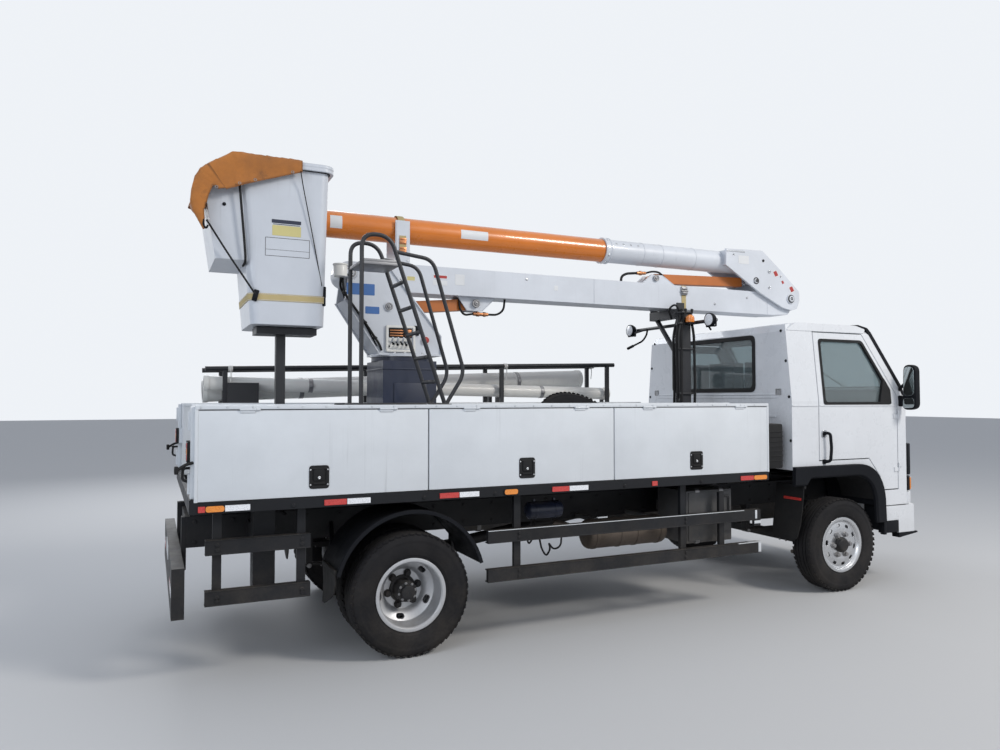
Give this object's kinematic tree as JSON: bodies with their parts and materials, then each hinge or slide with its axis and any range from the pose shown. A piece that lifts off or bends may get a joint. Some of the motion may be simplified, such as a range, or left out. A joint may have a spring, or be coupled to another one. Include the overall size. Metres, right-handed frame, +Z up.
{
  "type": "cherry picker truck",
  "caption": "Cab-over cherry picker truck with a white service body, a folded two-piece lifting arm with an orange insulated boom, and a covered bucket.",
  "frame": {"origin": "On the ground, in the middle of the truck's overall length and width.", "axes": "+X is forward, +Y is the truck's left, +Z is up."},
  "size_m": [6.38, 2.49, 3.1863],
  "materials": {
    "chassis_paint": "satin",
    "body_white": "gloss",
    "cab_white": "gloss",
    "deck_black": "satin",
    "pedestal_navy": "satin",
    "arm_white": "gloss",
    "rim_steel": "satin",
    "bare_steel": "polished",
    "grey_iron": "matte",
    "tyre": "matte",
    "black_plastic": "matte",
    "glass": "clear",
    "frp_orange": "gloss",
    "cover_orange": "satin",
    "frp_grey": "satin",
    "canvas": "matte",
    "seat_fabric": "matte",
    "red_lens": "gloss",
    "clear_lens": "clear",
    "tube_white": "satin"
  },
  "bodies": {
    "truck": {"access_ladder": "deck_black", "air_cleaner": "deck_black", "arm_rests": "deck_black", "bed_floor": "chassis_paint", "cab_glass": "glass", "cab_shell": "cab_white", "cab_trim": "black_plastic", "chassis_frame": "chassis_paint", "clear_lamps": "clear_lens", "dashboard": "black_plastic", "engine_block": "grey_iron", "front_axle": "chassis_paint", "front_bumper": "cab_white", "leaf_springs": "chassis_paint", "locker_banks": "body_white", "marker_lamps": "red_lens", "mirrors": "black_plastic", "pedestal": "pedestal_navy", "rear_axle": "chassis_paint", "rear_fenders": "black_plastic", "seats": "seat_fabric", "side_guards": "chassis_paint", "spare_wheel": "tyre", "tool_rack": "deck_black", "tool_tubes": "tube_white", "underbody_tanks": "grey_iron"},
    "turret": {"turret": "arm_white"},
    "lower_boom": {"lower_boom": "arm_white"},
    "upper_boom": {"boom_elbow": "arm_white", "insulated_boom": "frp_orange"},
    "bucket": {"bucket_bracket": "deck_black", "bucket": "frp_grey", "bucket_cover": "canvas"},
    "lower_barrel": {"lower_barrel": "cover_orange"},
    "lower_rod": {"lower_rod": "bare_steel"},
    "upper_barrel": {"upper_barrel": "cover_orange"},
    "upper_rod": {"upper_rod": "bare_steel"},
    "cab_door_right": {"cab_door_right": "cab_white", "door_glass_right": "glass"},
    "knuckle_right": {"knuckle_right": "grey_iron"},
    "front_wheel_right": {"front_tyre_right": "tyre", "front_rim_right": "rim_steel"},
    "rear_wheels_right": {"rear_tyres_right": "tyre", "rear_rims_right": "rim_steel"},
    "stabiliser_right": {"stabiliser_leg_right": "deck_black"},
    "cab_door_left": {"cab_door_left": "cab_white", "door_glass_left": "glass"},
    "knuckle_left": {"knuckle_left": "grey_iron"},
    "front_wheel_left": {"front_tyre_left": "tyre", "front_rim_left": "rim_steel"},
    "rear_wheels_left": {"rear_tyres_left": "tyre", "rear_rims_left": "rim_steel"},
    "stabiliser_left": {"stabiliser_leg_left": "deck_black"},
    "locker_door_right_1": {"locker_door_right_1": "body_white"},
    "locker_door_right_2": {"locker_door_right_2": "body_white"},
    "locker_door_right_3": {"locker_door_right_3": "body_white"},
    "locker_door_left_1": {"locker_door_left_1": "body_white"},
    "locker_door_left_2": {"locker_door_left_2": "body_white"},
    "locker_door_left_3": {"locker_door_left_3": "body_white"}
  },
  "joints": [
    {"name": "turret_swing", "type": "hinge", "parent": "truck", "child": "turret", "pos_m": [-1.523, 0, 1.984], "axis": [0, 0, 1], "range_deg": [-180, 180]},
    {"name": "lower_boom_lift", "type": "hinge", "parent": "turret", "child": "lower_boom", "pos_m": [-1.965, 0, 2.605], "axis": [0, -1, 0], "range_deg": [0, 80]},
    {"name": "upper_boom_unfold", "type": "hinge", "parent": "lower_boom", "child": "upper_boom", "pos_m": [2.454, 0, 2.654], "axis": [0, 1, 0], "range_deg": [0, 150]},
    {"name": "bucket_level", "type": "hinge", "parent": "upper_boom", "child": "bucket", "pos_m": [-2.53, -0.3, 2.99], "axis": [0, -1, 0], "range_deg": [-80, 150]},
    {"name": "lower_cylinder_swing", "type": "hinge", "parent": "turret", "child": "lower_barrel", "pos_m": [-1.672, 0, 2.364], "axis": [0, -1, 0], "range_deg": [-2, 90]},
    {"name": "lower_cylinder_stroke", "type": "slide", "parent": "lower_barrel", "child": "lower_rod", "axis": [0.9955, 0, 0.0949], "range_m": [0, 0.5]},
    {"name": "upper_cylinder_swing", "type": "hinge", "parent": "lower_boom", "child": "upper_barrel", "pos_m": [0.885, 0, 2.768], "axis": [0, -1, 0], "range_deg": [-4, 14]},
    {"name": "upper_cylinder_stroke", "type": "slide", "parent": "upper_barrel", "child": "upper_rod", "axis": [0.9995, 0, 0.0331], "range_m": [0, 0.93]},
    {"name": "steering_right", "type": "hinge", "parent": "truck", "child": "knuckle_right", "pos_m": [2.13, -0.74, 0.4], "axis": [0, 0, 1], "range_deg": [-35, 35]},
    {"name": "front_wheel_right_spin", "type": "hinge", "parent": "knuckle_right", "child": "front_wheel_right", "pos_m": [2.13, -0.93, 0.399], "axis": [0, 1, 0], "continuous": true},
    {"name": "rear_wheels_right_spin", "type": "hinge", "parent": "truck", "child": "rear_wheels_right", "pos_m": [-1.77, -0.8225, 0.399], "axis": [0, 1, 0], "continuous": true},
    {"name": "cab_door_right_hinge", "type": "hinge", "parent": "truck", "child": "cab_door_right", "pos_m": [2.878, -1.008, 1.3], "axis": [0, 0, 1], "range_deg": [0, 70]},
    {"name": "stabiliser_right_slide", "type": "slide", "parent": "truck", "child": "stabiliser_right", "axis": [0, 0, -1], "range_m": [0, 0.43]},
    {"name": "locker_door_right_1_hinge", "type": "hinge", "parent": "truck", "child": "locker_door_right_1", "pos_m": [-2.378, -1.107, 1.6], "axis": [-1, 0, 0], "range_deg": [0, 100]},
    {"name": "locker_door_right_2_hinge", "type": "hinge", "parent": "truck", "child": "locker_door_right_2", "pos_m": [-0.97, -1.107, 1.6], "axis": [-1, 0, 0], "range_deg": [0, 100]},
    {"name": "locker_door_right_3_hinge", "type": "hinge", "parent": "truck", "child": "locker_door_right_3", "pos_m": [0.4775, -1.107, 1.6], "axis": [-1, 0, 0], "range_deg": [0, 100]},
    {"name": "steering_left", "type": "hinge", "parent": "truck", "child": "knuckle_left", "pos_m": [2.13, 0.74, 0.4], "axis": [0, 0, 1], "range_deg": [-35, 35]},
    {"name": "front_wheel_left_spin", "type": "hinge", "parent": "knuckle_left", "child": "front_wheel_left", "pos_m": [2.13, 0.93, 0.399], "axis": [0, 1, 0], "continuous": true},
    {"name": "rear_wheels_left_spin", "type": "hinge", "parent": "truck", "child": "rear_wheels_left", "pos_m": [-1.77, 0.8225, 0.399], "axis": [0, 1, 0], "continuous": true},
    {"name": "cab_door_left_hinge", "type": "hinge", "parent": "truck", "child": "cab_door_left", "pos_m": [2.878, 1.008, 1.3], "axis": [0, 0, -1], "range_deg": [0, 70]},
    {"name": "stabiliser_left_slide", "type": "slide", "parent": "truck", "child": "stabiliser_left", "axis": [0, 0, -1], "range_m": [0, 0.43]},
    {"name": "locker_door_left_1_hinge", "type": "hinge", "parent": "truck", "child": "locker_door_left_1", "pos_m": [-2.378, 1.107, 1.6], "axis": [1, 0, 0], "range_deg": [0, 100]},
    {"name": "locker_door_left_2_hinge", "type": "hinge", "parent": "truck", "child": "locker_door_left_2", "pos_m": [-0.97, 1.107, 1.6], "axis": [1, 0, 0], "range_deg": [0, 100]},
    {"name": "locker_door_left_3_hinge", "type": "hinge", "parent": "truck", "child": "locker_door_left_3", "pos_m": [0.4775, 1.107, 1.6], "axis": [1, 0, 0], "range_deg": [0, 100]}
  ],
  "couplings": [
    {"joint": "turret_swing", "follows": "lower_boom_lift", "ratio": -1.5},
    {"joint": "upper_boom_unfold", "follows": "lower_boom_lift", "ratio": 1.875},
    {"joint": "bucket_level", "follows": "lower_boom_lift", "ratio": 0.875},
    {"joint": "lower_cylinder_swing", "follows": "lower_boom_lift", "ratio": 1.025},
    {"joint": "lower_cylinder_stroke", "follows": "lower_boom_lift", "m_per_rad": 0.34846},
    {"joint": "upper_cylinder_swing", "follows": "lower_boom_lift", "ratio": -0.03016},
    {"joint": "upper_cylinder_stroke", "follows": "lower_boom_lift", "m_per_rad": 0.6591},
    {"joint": "steering_left", "follows": "steering_right", "ratio": 1}
  ]
}
